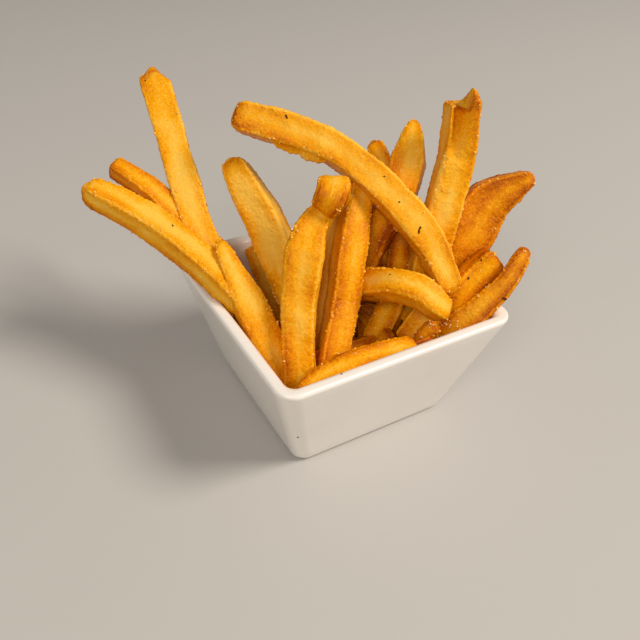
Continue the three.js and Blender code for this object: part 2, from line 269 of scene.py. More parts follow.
porcelain, tree, shader = new_material("porcelain")
place = add_node(tree, "ShaderNodeTexCoord", {}).outputs["Object"]
pool_share = remap(tree, noise(tree, place, POOLS_PER_METRE, 3), *POOL_RANGE)
glaze = blend(tree, pool_share, GLAZE_COLOUR, GLAZE_POOL_COLOUR)
level = add_node(tree, "ShaderNodeSeparateXYZ", {"Vector": place}).outputs["Z"]
bare = remap(tree, level, FOOT_HEIGHT, GLAZE_END)
ripples = noise(tree, place, RIPPLES_PER_METRE)
plug(tree, shader, {
    "Base Color": blend(tree, bare, glaze, BISQUE_COLOUR),
    "Roughness": remap(tree, bare, 0.0, 1.0, GLAZE_ROUGHNESS, BISQUE_ROUGHNESS),
    "IOR": 1.5, "Coat Weight": 0.12, "Coat Roughness": 0.06, "Subsurface Weight": 0.08,
    "Subsurface Radius": (4 * MM, 3 * MM, 2 * MM), "Subsurface Scale": 1.0,
    "Normal": bumps(tree, ripples, RIPPLE_STRENGTH, RIPPLE_HEIGHT),
})
porcelain_bowl.data.materials.append(porcelain)
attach(porcelain_bowl, "root")
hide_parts("bowl")

# ---------------------------------------------------------------------------------------------
# Fries: potato cut in sticks, dipped in a seasoned flour batter and fried until the crust is
# golden. Each stick bends in its own way, its edges are ragged and its ends are browner.

OUTLOOK = Vector((-0.42, -0.67, 0.61)).normalized()
SEED_SHIFT = np.array([0.173, 0.059, 0.311])
FINE = {"sides": 96, "step": 0.45 * MM}
COARSE = {"sides": 44, "step": 1.1 * MM}
FACE_SINK = 0.04
CORNER_STEPS = 12
CURVE_STEPS = 59
CAP_SHARES = (0.96, 0.87, 0.75, 0.6, 0.44, 0.28, 0.13)
HORN_REACH = 13 * MM
HORN_DEPTH = 0.45
SLANT_REACH = 0.35
GROOVE_WIDTH = 0.17
FLAP_SIDE = 0.3
FLAP_PLACE = 0.2
FLAP_THICKNESS = 0.1
FLAP_EVEN = 0.78
FLAP_WAVES = ((0.14, 9, 1), (0.1, 23, 0), (0.06, 61, 0))

# How much browner the crust is from face to face and at the ends, and how much painted shade is
# laid on as more browning: underneath, in the groove, and low down in the heap.
FACE_TONE = 0.1
FACE_BLEND = 10
TONE_SHARE = 0.5
UNDERSIDE_SHADE_TONE = 0.45
GROOVE_SHADE_TONE = 0.6
FOOT_TONE = 0.4
END_REACH = 5 * MM
END_EDGE_REACH = 1.2 * MM
LOW_SHADE_TONE = 0.35
LOW_SHADE_BELOW = 62 * MM
LOW_SHADE_BLEND = 30 * MM

# A fry runs through points on its middle from tip to foot, in mm, with its width and depth at
# each, and the degrees that its broad face turns away from the outlook. Its tip narrows over
# "soft" mm to the share "blunt", and its foot likewise. "slant" and "bevel" (length, share) cut
# the tip, "horns" (across, through, rise, radius) are broken points on it, "groove" (across,
# depth, length) runs down from it, and "flap" (start, end, reach) is loose batter along an edge.
# "tone" says how browned it is, partly its own doneness and partly painted light and shade: lower
# for some fries that sit in shade, higher for fries the lamps light too well and for most hidden
# ones. "tip_brown" browns its tip, and its shade band (place, reach, amount) is painted shade along it.
FRY = {
    "deep": 11, "turn": 0, "soft": 4, "blunt": 0.8, "corner": 0.14, "foot": (4, 0.8),
    "slant": 0, "bevel": (0, 0), "groove": None, "flap": None, "horns": (),
    "tone": 0.0, "tip_brown": 0.35, "shade_band": (0, 1, 0),
}
FRIES = {
    "low_left": {
        "through": [(-75.9, 62.6, 80.7), (-58.8, 47.2, 70.8), (-46.5, 23, 62), (-37, 4, 51)],
        "wide": (10, 12, 11.5, 12), "deep": (9.5, 11, 10.5, 11), "turn": -40,
        "soft": 7, "blunt": 0.5, "corner": 0.18, "tone": 0.1,
    },
    "behind_low": {
        "through": [(-63.2, 68.9, 84.9), (-53, 57.2, 77.3), (-45.5, 46, 68), (-35, 32, 56)],
        "wide": (7, 9.5, 10, 10), "deep": (7, 9, 9, 9), "turn": -32,
        "soft": 3, "blunt": 0.6, "corner": 0.18, "tone": 0.35,
    },
    "tall_left": {
        "through": [(-36.1, 91.1, 108.3), (-38.5, 65.5, 88), (-40, 38, 64), (-36, 20, 46)],
        "wide": (12.9, 12.3, 12, 12), "deep": 10, "turn": -8,
        "soft": 3, "slant": 1.2, "bevel": (4, 0.5),
        "horns": ((-0.08, 0.1, 5.5, 0.38), (-0.5, 0.1, -5.0, 0.2)),
        "tone": -0.1, "tip_brown": 1.0,
    },
    "front_left": {
        "through": [(-39.2, 22.4, 68.3), (-37, 5, 54), (-33, -13, 34), (-30, -20, 24)],
        "wide": (4.6, 12.5, 13, 12), "deep": (5, 10, 11, 11), "turn": -18,
        "soft": 6, "blunt": 0.5, "corner": 0.23, "tone": 0.2,
    },
    "small_dark": {
        "through": [(-17.7, 40.9, 50.1), (-14.7, 35.7, 41.7), (-12.5, 29.2, 28.7), (-11.4, 24.6, 19.4)],
        "wide": (5.5, 8.5, 8.5, 8.5), "deep": 5, "turn": 10, "tone": -0.3,
    },
    "bevelled": {
        "through": [(-23.6, 45.2, 89.3), (-17.2, 32.7, 71.8), (-13.7, 15.2, 52.3), (-10.6, -0.4, 34)],
        "wide": (10, 14.8, 15.8, 15), "deep": (9, 11, 12, 12), "turn": (8, 16, 24, 26),
        # Its low tone is painted light: a paler crust where its face gets little of the lamps' light.
        "soft": 5, "blunt": 0.55, "corner": 0.18, "bevel": (6, 0.8), "tone": -0.3,
    },
    "knobbed": {
        "through": [(0.1, 5.9, 93.1), (-1.6, 3.6, 91.4), (-3.6, 1.8, 89.1), (-5.5, 3.3, 83.5),
                    (-9.7, 2.7, 79.5), (-16.4, -3, 71.6), (-22.4, -10.2, 56.3), (-25.5, -15.8, 45.5),
                    (-27.6, -21.2, 33.3), (-28.3, -23.2, 25.7)],
        "wide": (11.4, 12.8, 12.4, 8.8, 11.2, 14.4, 13.4, 12.4, 12, 12),
        "deep": (9.5, 12.8, 13, 6.6, 9, 11.5, 11.5, 11.5, 11.5, 11),
        "turn": (6, 4, 0, 0, 0, 0, 0, 0, 0, 0),
        "soft": 2, "blunt": 0.84, "corner": 0.23,
        # Its shade band is painted shade on the neck under the overhanging knob.
        "tone": 0.2, "shade_band": (8.5, 3, 1.3),
    },
    "upright": {
        "through": [(16, 14, 84), (4.5, 0, 66), (-2.2, -8.5, 50), (-11.5, -18.5, 36), (-17, -25, 24)],
        "wide": (11, 12.5, 12.6, 11, 11), "turn": (-30, -26, -22, -16, -16), "corner": 0.23,
        "tone": 0.5,
    },
    "arched": {
        "through": [(-20.6, 45.8, 106.8), (-5.3, 34.3, 102.9), (9.5, 21.5, 97), (23, 1, 84),
                    (30, -14, 72), (31.5, -31.5, 58)],
        "wide": (11.3, 12.3, 11.3, 12.3, 12, 9), "deep": (10, 11, 11, 11, 11, 9),
        "turn": (6, 4, 0, -4, -4, -4),
        "soft": 5, "blunt": 0.62, "foot": (6, 0.62), "flap": (16, 40, 3.4),
        "tip_brown": 0.6,
    },
    "little_tip": {
        "through": [(35, 32.5, 91), (34.8, 19, 80), (34.5, 8, 66), (32, 2, 46)],
        "wide": (8, 8.5, 9.5, 9.5), "deep": (7, 7, 8, 8), "turn": 6,
        "soft": 5, "blunt": 0.45, "corner": 0.23,
        # Its shade band is painted shade on its lower part, deep behind the others.
        "tone": 0.2, "tip_brown": 0.75, "shade_band": (42, 15, 0.9),
    },
    "flame": {
        "through": [(44, 18.5, 104), (36.9, 10.8, 92.1), (30, 6.3, 78.9), (21.1, 7.6, 60.9),
                    (13, 6.1, 42.4)],
        "wide": (5, 13.5, 14, 12.5, 12), "deep": (6, 11, 12, 11, 11), "turn": 10,
        "blunt": 0.5, "corner": 0.23,
        # Its shade band is painted shade on its lower body, in the heap's shadow.
        "tone": 0.2, "shade_band": (44, 15, 0.95),
    },
    "tall_right": {
        "through": [(47.5, -2.5, 117), (48.5, -3, 98), (40.5, -8.5, 74.5), (33, -11, 46)],
        "wide": (11.5, 13, 13.5, 13), "deep": (11, 12, 12, 12), "turn": -8,
        "soft": 2, "blunt": 0.88, "corner": 0.18, "groove": (0.2, 0.5, 22),
        "horns": ((-0.42, 0.1, 5.6, 0.12), (-0.27, 0.1, 5.0, 0.09), (0.42, 0.2, 1.4, 0.2)),
        "tone": -0.1, "tip_brown": 0.6,
    },
    "wide_right": {
        "through": [(75.4, -17.9, 89.6), (61.2, -12.3, 79.6), (50.6, -14.2, 68.5), (42.5, -14.5, 58.5),
                    (35.5, -14.5, 48.5)],
        "wide": (6, 18, 20.5, 14, 8), "deep": (8, 9, 9, 8, 7), "turn": -12, "blunt": 0.6,
        # Its high tone is painted shade: the crust is darker where the lamp lights its broad face fully.
        "tone": 1.6,
    },
    "curled": {
        "through": [(7.2, -0.6, 48.6), (10.9, -8.2, 52.7), (13.7, -19.4, 58.7), (19.4, -27.6, 58.5),
                    (22.6, -32.2, 55.6), (27.3, -34.6, 51.2)],
        "wide": (10.5, 11.5, 11.5, 11.3, 10.5, 8.5), "deep": (10, 10, 10, 10, 9.5, 8), "turn": -22,
        "soft": 2, "corner": 0.23, "foot": (3, 0.65), "tone": -0.2,
    },
    "stub_right": {
        "through": [(53.3, -28.8, 65.6), (44.5, -28.5, 58), (35, -29, 49), (31.4, -21.5, 31)],
        "wide": (11.5, 12, 12, 12), "turn": -15,
        "soft": 4, "blunt": 0.66, "corner": 0.23, "tone": 1.15,
    },
    "front_right": {
        "through": [(60.5, -36.7, 71.2), (49.6, -39.2, 59.4), (33.9, -36.1, 43.7), (30.2, -29.5, 33.2)],
        "wide": (5.5, 8.4, 12, 12), "deep": (6, 7.5, 8, 8), "turn": 10,
        "soft": 3, "blunt": 0.6, "corner": 0.23,
        "tone": 0.85, "tip_brown": 0.3,
    },
    "rim_side": {
        "through": [(-36.9, -37.3, 40.4), (-28.3, -36.8, 41.9), (-17.8, -36.4, 42.9), (-3.6, -37.5, 43.3),
                    (5.2, -37.8, 42.4), (11.1, -38.1, 41.3)],
        "wide": (6, 8.5, 10.5, 10.5, 10, 9), "deep": (6, 8.5, 10, 10, 10, 9), "turn": -30,
        "soft": 4, "blunt": 0.5, "corner": 0.23, "foot": (3, 0.7), "tone": 0.62,
    },
    # inner_a and inner_b sit in the shaded hollow; their tones are set lower as painted light.
    "inner_a": {
        "through": [(27.9, -3.2, 40.6), (20.6, -8.4, 34.5), (11, -14.6, 28)],
        "wide": 11.5, "deep": 9, "turn": 20, "corner": 0.23, "tone": 0.2,
    },
    "inner_b": {
        "through": [(35.8, -24.1, 49), (29.3, -24.6, 44), (20, -24, 32)],
        "wide": (10, 13, 13), "deep": 9, "turn": 10, "corner": 0.23, "tone": -0.2,
    },
    "salty_end": {
        "through": [(27.7, -30.9, 42.6), (22.3, -28.8, 34.6)],
        "wide": 7.5, "deep": 7, "turn": 20, "corner": 0.23, "tone": 0.45,
    },
    "inner_c": {
        "through": [(7.1, 13.2, 76.9), (1.2, 8.3, 65.8), (-13.9, -10.6, 29.8)],
        "wide": 10, "deep": 9, "corner": 0.23, "tone": 0.3,
    },
    # Most hidden fries have a high tone: painted shade, so the gaps deep in the heap read dark and warm.
    "behind_flame": {
        "through": [(52, 34, 79), (44, 27, 66), (35, 19, 50)],
        "wide": 11, "deep": 10, "tone": 1.5,
    },
    "back_corner": {
        "through": [(46, 46, 64), (38, 37, 52), (28, 27, 34)],
        "wide": 11, "deep": 10, "tone": 1.5,
    },
    "right_low": {"through": [(35.5, -8, 45), (35.5, 30, 42)], "wide": 10, "deep": 10, "tone": 1.5},
    "back_low": {"through": [(-4, 35.5, 38), (30, 35.5, 43)], "wide": 11, "deep": 10, "tone": 1.5},
    "under_rim_side": {"through": [(-28, -33, 33), (24, -33, 34)], "wide": 10.5, "deep": 10, "tone": 1.5},
    "under_right": {"through": [(32.5, -28, 33), (32.5, 14, 33)], "wide": 11.5, "deep": 11, "tone": 0.5},
    "under_left": {"through": [(-31.5, -18, 31), (-31, 20, 28)], "wide": 10, "deep": 10, "tone": 1.5},
    "under_middle": {"through": [(-22, -4, 26), (18, -22, 22.5)], "wide": 10.5, "deep": 10, "tone": 0.3},
}
HIDDEN = ("behind_flame", "back_corner", "right_low", "back_low", "under_rim_side", "under_right",
          "under_left", "under_middle")


def running_length(points):
    return np.concatenate([[0], np.cumsum(np.linalg.norm(np.diff(points, axis=0), axis=1))])


def centre_line(points, count):
    """Points at even steps along a smooth curve through the given ones, its length, and the share
    of it at which each given point lies."""
    knots = np.array([2 * points[0] - points[1], *points, 2 * points[-1] - points[-2]])
    times = np.concatenate([[0], np.cumsum(np.sqrt(np.linalg.norm(np.diff(knots, axis=0), axis=1)))])
    parts = []
    for index in range(1, len(points)):
        t0, t1, t2, t3 = times[index - 1:index + 3]
        p0, p1, p2, p3 = knots[index - 1:index + 3]
        t = np.linspace(t1, t2, CURVE_STEPS + 1)[:, None]
        a1 = ((t1 - t) * p0 + (t - t0) * p1) / (t1 - t0)
        a2 = ((t2 - t) * p1 + (t - t1) * p2) / (t2 - t1)
        a3 = ((t3 - t) * p2 + (t - t2) * p3) / (t3 - t2)
        b1 = ((t2 - t) * a1 + (t - t0) * a2) / (t2 - t0)
        b2 = ((t3 - t) * a2 + (t - t1) * a3) / (t3 - t1)
        parts.append(((t2 - t) * b1 + (t - t1) * b2) / (t2 - t1))
    fine = np.concatenate([parts[0]] + [part[1:] for part in parts[1:]])
    lengths = running_length(fine)
    shares = lengths[::CURVE_STEPS][:len(points)] / lengths[-1]
    places = np.linspace(0, lengths[-1], count)
    line = np.stack([np.interp(places, lengths, fine[:, axis]) for axis in range(3)], axis=1)
    return line, lengths[-1], shares


def value_along(values, shares, share):
    if isinstance(values, (int, float)):
        return float(values)
    return float(np.interp(share, shares, values))


def section_outline(sides, corner):
    """Points round a unit square with round corners and slightly sunken faces, evenly spaced."""
    flat = 0.5 - corner
    path = []
    for quarter, (sign_u, sign_v) in enumerate([(1, 1), (-1, 1), (-1, -1), (1, -1)]):
        for angle in np.linspace(quarter, quarter + 1, CORNER_STEPS + 1) * math.pi / 2:
            path.append((sign_u * flat + corner * math.cos(angle), sign_v * flat + corner * math.sin(angle)))
    path = np.array(path + path[:1])
    lengths = running_length(path)
    places = np.linspace(0, lengths[-1], sides, endpoint=False)
    u, v = (np.interp(places, lengths, path[:, axis]) for axis in range(2))
    return u * (1 - FACE_SINK * (1 - 4 * v * v)), v * (1 - FACE_SINK * (1 - 4 * u * u))


def end_scale(distance, length, blunt):
    """How wide a rounded end is at a distance from it, as a share of the full width."""
    left = max(0.0, 1 - distance / length)
    return blunt + (1 - blunt) * math.sqrt(1 - left * left)


def fry_frames(fry, step):
    """The sections of a fry from tip to foot: centre, across, facing, along, width and depth."""
    points = np.array(fry["through"], float) * MM
    _, length, shares = centre_line(points, 2)
    count = max(8, round(length / step))
    line, length, shares = centre_line(points, count)
    foot_soft, foot_blunt = fry["foot"]
    frames = []
    for index, centre in enumerate(line):
        share = index / (count - 1)
        distance = share * length
        ahead = line[min(index + 1, count - 1)]
        behind = line[max(index - 1, 0)]
        along = Vector(behind - ahead).normalized()
        facing = (OUTLOOK - OUTLOOK.dot(along) * along).normalized()
        facing.rotate(Matrix.Rotation(-math.radians(value_along(fry["turn"], shares, share)), 3, along))
        scale = min(
            end_scale(distance, fry["soft"] * MM, fry["blunt"]),
            end_scale(length - distance, foot_soft * MM, foot_blunt),
        )
        frames.append({
            "centre": centre, "across": np.array(facing.cross(along)), "facing": np.array(facing),
            "along": np.array(along), "distance": distance, "share": share, "length": length,
            "wide": value_along(fry["wide"], shares, share) * MM * scale,
            "deep": value_along(fry["deep"], shares, share) * MM * scale,
        })
    return frames


def groove_share(fry, distance, u, v):
    """How far each point of a section is in the groove that runs down a fry's face from its tip."""
    if not fry["groove"]:
        return 0 * u
    groove_u, _, groove_length = fry["groove"]
    fade = max(0.0, 1 - distance / (groove_length * MM))
    return fade * np.exp(-((u - groove_u) / GROOVE_WIDTH) ** 2) * np.clip(2 * v, 0, 1)


def flap_height(flap, distance):
    """How far the loose batter stands out at a distance from the tip, with an uneven edge."""
    start, end, reach = flap
    share = min(max((distance / MM - start) / (end - start), 0.0), 1.0)
    ragged = FLAP_EVEN
    for size, waves, shift in FLAP_WAVES:
        ragged += size * math.sin(share * waves + shift)
    return reach * MM * math.sin(share * math.pi) ** 0.6 * ragged


def fry_ring(fry, section, outline, shrink, push):
    """One ring of a fry's section, shrunk by a share and pushed along the fry."""
    u, v = (axis * shrink for axis in outline)
    distance = section["distance"]
    slide = push + 2 * fry["slant"] * MM * u * max(0.0, 1 - section["share"] / SLANT_REACH)
    for horn_u, horn_v, rise, radius in fry["horns"]:
        away = ((u - horn_u) / radius) ** 2 + ((v - horn_v) / HORN_DEPTH) ** 2
        slide = slide + rise * MM * np.exp(-away) * max(0.0, 1 - distance / HORN_REACH)
    bevel_length, bevel_share = fry["bevel"]
    if distance < bevel_length * MM:
        v = np.where(v > 0, v * (1 - bevel_share * (1 - distance / (bevel_length * MM))), v)
    if fry["groove"]:
        v = v - fry["groove"][1] * groove_share(fry, distance, u, v)
    outward = u * section["wide"]
    if fry["flap"]:
        thickness = np.exp(-((v - FLAP_PLACE) / FLAP_THICKNESS) ** 2) * (u > FLAP_SIDE)
        outward = outward + flap_height(fry["flap"], distance) * thickness
    return (
        section["centre"] + np.outer(outward, section["across"])
        + np.outer(v * section["deep"], section["facing"]) + np.outer(slide + 0 * u, section["along"])
    )


def face_tones(outline, seed):
    """How much each point of a section is browned by the face that it is on, blended at the corners."""
    tones = np.random.default_rng(seed).uniform(-FACE_TONE, FACE_TONE, 4)
    turns = np.degrees(np.arctan2(outline[1], outline[0])) % 360
    stops = [corner + side for corner in range(45, 360, 90) for side in (-FACE_BLEND, FACE_BLEND)]
    return np.interp(turns, [0, *stops, 360], np.repeat(tones[[0, 1, 2, 3, 0]], 2))


def brown_and_shade_of(fry, section, u, v, share, tones):
    """How browned each point of a section is, from its face's tone up, plus painted shade as browning."""
    distance = section["distance"]
    to_foot = section["length"] - distance
    shade_band_at, shade_band_reach, shade_band = fry["shade_band"]
    done_and_shade = fry["tone"] * TONE_SHARE + fry["tip_brown"] * math.exp(-distance / END_REACH)
    # The shade band is painted shade: a darker band at a set distance from the tip, where the fry lies in
    # shade.
    done_and_shade += shade_band * math.exp(-((distance / MM - shade_band_at) / shade_band_reach) ** 2)
    # Painted shade: the undersides are browner, for the warm shade beneath each fry.
    shaded_underside = np.clip(-2 * (u * section["across"][2] + v * section["facing"][2]), 0, 1)
    # Painted shade: low in the heap the crust is browner, for the warm shade down there.
    low_shade = float(np.clip((LOW_SHADE_BELOW - section["centre"][2]) / LOW_SHADE_BLEND, 0, 1))
    brown_and_shade = tones + done_and_shade + UNDERSIDE_SHADE_TONE * shaded_underside + LOW_SHADE_TONE * low_shade
    # Painted shade in the groove, where its recess lies in shadow.
    brown_and_shade = brown_and_shade + GROOVE_SHADE_TONE * groove_share(fry, distance, u * share, v * share)
    return brown_and_shade + FOOT_TONE * math.exp(-to_foot / END_REACH)


def set_attribute(mesh, name, kind, values):
    layer = mesh.attributes.new(name, kind, "POINT").data
    field = "vector" if kind == "FLOAT_VECTOR" else "value"
    layer.foreach_set(field, np.asarray(values, np.float32).ravel())


def fry_mesh(name, fry, seed, detail):
    """A smooth fry, with its grain, its edges, and its browning and painted shade as attributes."""
    frames = fry_frames(fry, detail["step"])
    sides = detail["sides"]
    u, v = outline = section_outline(sides, fry["corner"])
    tip_bulge = (1 - fry["blunt"]) * fry["soft"] * 0.5 * MM
    foot_bulge = (1 - fry["foot"][1]) * fry["foot"][0] * 0.5 * MM
    place = [(frames[-1], share, -foot_bulge) for share in reversed(CAP_SHARES)]
    place += [(section, 1.0, 0.0) for section in reversed(frames)]
    place += [(frames[0], share, tip_bulge) for share in CAP_SHARES]
    mesh = closed_loft(name, [
        fry_ring(fry, section, outline, share, bulge * (1 - share ** 2)) for section, share, bulge in place
    ])
    tones = face_tones(outline, seed)
    corners = np.minimum(np.abs(u), np.abs(v)) / (0.5 - fry["corner"] * 0.3)
    grain, edge, brown_and_shade = [], [], []
    for section, share, _ in place:
        distance = section["distance"]
        to_end = min(distance, section["length"] - distance)
        place_in_fry = (u * share * section["wide"], v * share * section["deep"], np.full(sides, distance))
        grain.append(np.stack(place_in_fry, axis=1) + seed * SEED_SHIFT)
        edge.append(np.maximum(corners * share, math.exp(-to_end / END_EDGE_REACH) * share ** 5))
        brown_and_shade.append(brown_and_shade_of(fry, section, u, v, share, tones))
    grain += [grain[0].mean(axis=0, keepdims=True), grain[-1].mean(axis=0, keepdims=True)]
    edge += [np.zeros(2)]
    brown_and_shade += [brown_and_shade[0][:1], brown_and_shade[-1][:1]]
    set_attribute(mesh, "grain", "FLOAT_VECTOR", np.concatenate(grain))
    set_attribute(mesh, "edge", "FLOAT", np.concatenate(edge))
    set_attribute(mesh, "brown_and_shade", "FLOAT", np.concatenate(brown_and_shade))
    return mesh


SOCKET_KINDS = {float: "NodeSocketFloat", int: "NodeSocketInt", str: "NodeSocketString"}


def start_group(name, values):
    """A geometry node tree with named inputs, and what comes in through them."""
    group = bpy.data.node_groups.new(name, "GeometryNodeTree")
    group.interface.new_socket("Geometry", in_out="INPUT", socket_type="NodeSocketGeometry")
    for socket_name, value in values.items():
        kind = SOCKET_KINDS[type(value)]
        socket = group.interface.new_socket(socket_name, in_out="INPUT", socket_type=kind)
        socket.default_value = value
    group.interface.new_socket("Material", in_out="INPUT", socket_type="NodeSocketMaterial")
    group.interface.new_socket("Geometry", in_out="OUTPUT", socket_type="NodeSocketGeometry")
    return group, add_node(group, "NodeGroupInput", {}).outputs


def end_group(group, geometry, material):
    real = add_node(group, "GeometryNodeRealizeInstances", {"Geometry": geometry})
    inputs = {"Geometry": real.outputs["Geometry"], "Material": material}
    coated = add_node(group, "GeometryNodeSetMaterial", inputs)
    add_node(group, "NodeGroupOutput", {"Geometry": coated.outputs["Geometry"]})


def read_attribute(group, name, kind):
    node = add_node(group, "GeometryNodeInputNamedAttribute", {"Name": name}, data_type=kind)
    return node.outputs["Attribute"]


def calc(tree, operation, first, second):
    return add_node(tree, "ShaderNodeMath", {0: first, 1: second}, operation=operation).outputs["Value"]


def total(tree, *values):
    result = values[0]
    for value in values[1:]:
        result = calc(tree, "ADD", result, value)
    return result


# The crust: slow lumps where the batter ran, a finer wave, and crumbs that stand up most along
# the edges. It moves each point out or in along its normal.
crust, given = start_group("batter_crust", {
    "Lump Size": 15 * MM, "Lump Height": 1.0 * MM, "Wave Size": 4.0 * MM, "Wave Height": 0.32 * MM,
    "Crumb Size": 1.2 * MM, "Crumb Height": 0.13 * MM, "Edge Crumb Height": 0.75 * MM,
})
EDGE_POWER = 3.0
CRUMB_HOLLOW = -0.25
grain_read = read_attribute(crust, "grain", "FLOAT_VECTOR")
edge_read = read_attribute(crust, "edge", "FLOAT")


def crust_noise(size, detail):
    """Noise about 0, from -1 to 1, with lumps of a size in metres."""
    around_half = noise(crust, grain_read, calc(crust, "DIVIDE", 1.0, size), detail)
    return calc(crust, "MULTIPLY", calc(crust, "SUBTRACT", around_half, 0.5), 2.0)


lumps = calc(crust, "MULTIPLY", crust_noise(given["Lump Size"], 1.0), given["Lump Height"])
waves = calc(crust, "MULTIPLY", crust_noise(given["Wave Size"], 2.0), given["Wave Height"])
crumb_noise = crust_noise(given["Crumb Size"], 2.0)
edge_share = calc(crust, "POWER", edge_read, EDGE_POWER)
edge_height = calc(crust, "MULTIPLY", edge_share, given["Edge Crumb Height"])
crumb_height = calc(crust, "ADD", edge_height, given["Crumb Height"])
crumbs_up = calc(crust, "MULTIPLY", calc(crust, "MAXIMUM", crumb_noise, CRUMB_HOLLOW), crumb_height)
offset = add_node(crust, "ShaderNodeVectorMath", {
    "Vector": add_node(crust, "GeometryNodeInputNormal", {}).outputs["Normal"],
    "Scale": total(crust, lumps, waves, crumbs_up),
}, operation="SCALE")
moved = add_node(crust, "GeometryNodeSetPosition", {
    "Geometry": given["Geometry"], "Offset": offset.outputs["Vector"],
})
kept = add_node(crust, "GeometryNodeStoreNamedAttribute", {
    "Geometry": moved.outputs["Geometry"], "Name": "crumbs", "Value": crumb_noise,
}, data_type="FLOAT", domain="POINT")
end_group(crust, kept.outputs["Geometry"], given["Material"])

# The crust's colour goes from pale to brown with how done it is and with the painted shade laid
# on as browning. Blotches, mottling and sand vary that and rounded edges are more done; the
# sharpest ridges and the raised crumbs are painted paler as highlights.
PALE_AT, CRUST_PALE = 0.04, (0.86, 0.495, 0.06, 1)
GOLD_AT, CRUST_GOLD = 0.36, (0.84, 0.355, 0.002, 1)
ORANGE_AT, CRUST_ORANGE = 0.7, (0.64, 0.187, 0.0, 1)
BROWN_AT, CRUST_BROWN = 1.0, (0.33, 0.06, 0.0, 1)

# Lumps a metre, detail, roughness and stretch of each noise, then the range of it that counts and
# what its ends add to the doneness. The attributes have such a range too.
BLOTCHES = (105, 1.5, 0.5, 0.5), (0.36, 0.64, -0.23, 0.12)
MOTTLE = (380, 2, 0.6, 0.7), (0.32, 0.68, -0.04, 0.04)
SAND = (1500, 2, 0.7, 1.0), (0.3, 0.7, -0.13, 0.13)
PALE_GRAINS = (2300, 1, 0.5, 1.0), (0.62, 0.7, 0.0, -0.3)
BROWN_AND_SHADE_RANGE = (-0.2, 1.0, 0.16, 0.78)
EDGE_RANGE = (0.0, 0.8, -0.15, 0.24)
# Painted highlight: the sharpest edges and the raised crumbs are paler, and the hollows between the crumbs a
# little darker as painted shade.
RIDGE_HIGHLIGHT_RANGE = (0.84, 1.0, 0.0, -0.3)
CRUMB_HIGHLIGHT_RANGE = (0.0, 0.6, 0.03, -0.12)
SHEEN = (300, 3, 0.6, 1.0), (0.3, 0.7, 0.27, 0.48)
BUMP_RIPPLES = (330, 2, 0.5, 1.0), (0.0, 1.0, 0.0, 1.3)
BUMP_GRIT = (1800, 2, 0.6, 1.0), (0.0, 1.0, 0.0, 0.5)
BUMP_CRUMBS = (800, 2, 0.55, 1.0)
BUMP_STRENGTH = 0.6
BUMP_HEIGHT = 0.5 * MM

batter, batter_tree, shader = new_material("golden_batter")


def batter_attribute(name, output="Fac"):
    return add_node(batter_tree, "ShaderNodeAttribute", {}, attribute_name=name).outputs[output]


def batter_noise(scale, detail, rough, stretch):
    """Noise that follows the fry, drawn out along it by a stretch below 1."""
    inputs = {0: batter_attribute("grain", "Vector"), 1: (1, 1, stretch)}
    longer = add_node(batter_tree, "ShaderNodeVectorMath", inputs, operation="MULTIPLY")
    return noise(batter_tree, longer.outputs["Vector"], scale, detail, rough)


def batter_layer(noise_values, noise_range):
    return remap(batter_tree, batter_noise(*noise_values), *noise_range)


def batter_place(attribute, attribute_range):
    return remap(batter_tree, batter_attribute(attribute), *attribute_range)


ramp = add_node(batter_tree, "ShaderNodeValToRGB", {"Fac": total(
    batter_tree, batter_place("brown_and_shade", BROWN_AND_SHADE_RANGE),
    batter_layer(*BLOTCHES), batter_layer(*MOTTLE), batter_layer(*SAND), batter_layer(*PALE_GRAINS),
    batter_place("edge", EDGE_RANGE), batter_place("edge", RIDGE_HIGHLIGHT_RANGE), batter_place("crumbs", CRUMB_HIGHLIGHT_RANGE),
)})
stops = ramp.color_ramp.elements
stops[0].position, stops[0].color = PALE_AT, CRUST_PALE
stops[1].position, stops[1].color = BROWN_AT, CRUST_BROWN
stops.new(GOLD_AT).color = CRUST_GOLD
stops.new(ORANGE_AT).color = CRUST_ORANGE
relief = total(
    batter_tree, batter_layer(*BUMP_RIPPLES), batter_noise(*BUMP_CRUMBS), batter_layer(*BUMP_GRIT))
plug(batter_tree, shader, {
    "Base Color": ramp.outputs["Color"], "Roughness": batter_layer(*SHEEN), "Specular IOR Level": 0.09,
    "Subsurface Weight": 0.18, "Subsurface Radius": (2.8 * MM, 1.0 * MM, 0.2 * MM),
    "Subsurface Scale": 1.0, "Normal": bumps(batter_tree, relief, BUMP_STRENGTH, BUMP_HEIGHT),
})

WALL_GAP = 0.15 * MM


def keep_inside(points):
    """Pushes points that the crust carried into the bowl's wall back to its surface."""
    outer = (BASE_WIDTH + (RIM_WIDTH - BASE_WIDTH) * points[:, 2] / BOWL_HEIGHT) / 2
    furthest = np.abs(points[:, :2]).max(axis=1)
    into_wall = furthest - (outer - WALL - WALL_GAP)
    below_rim = BOWL_HEIGHT + WALL_GAP - points[:, 2]
    inside = (into_wall > 0) & (below_rim > 0) & (furthest < outer + WALL_GAP)
    sideways = inside & (into_wall <= below_rim)
    for axis in range(2):
        far = sideways & (np.abs(points[:, axis]) > outer - WALL - WALL_GAP)
        points[far, axis] = np.sign(points[far, axis]) * (outer - WALL - WALL_GAP)[far]
    upwards = inside & ~sideways
    points[upwards, 2] = BOWL_HEIGHT + WALL_GAP
    return points


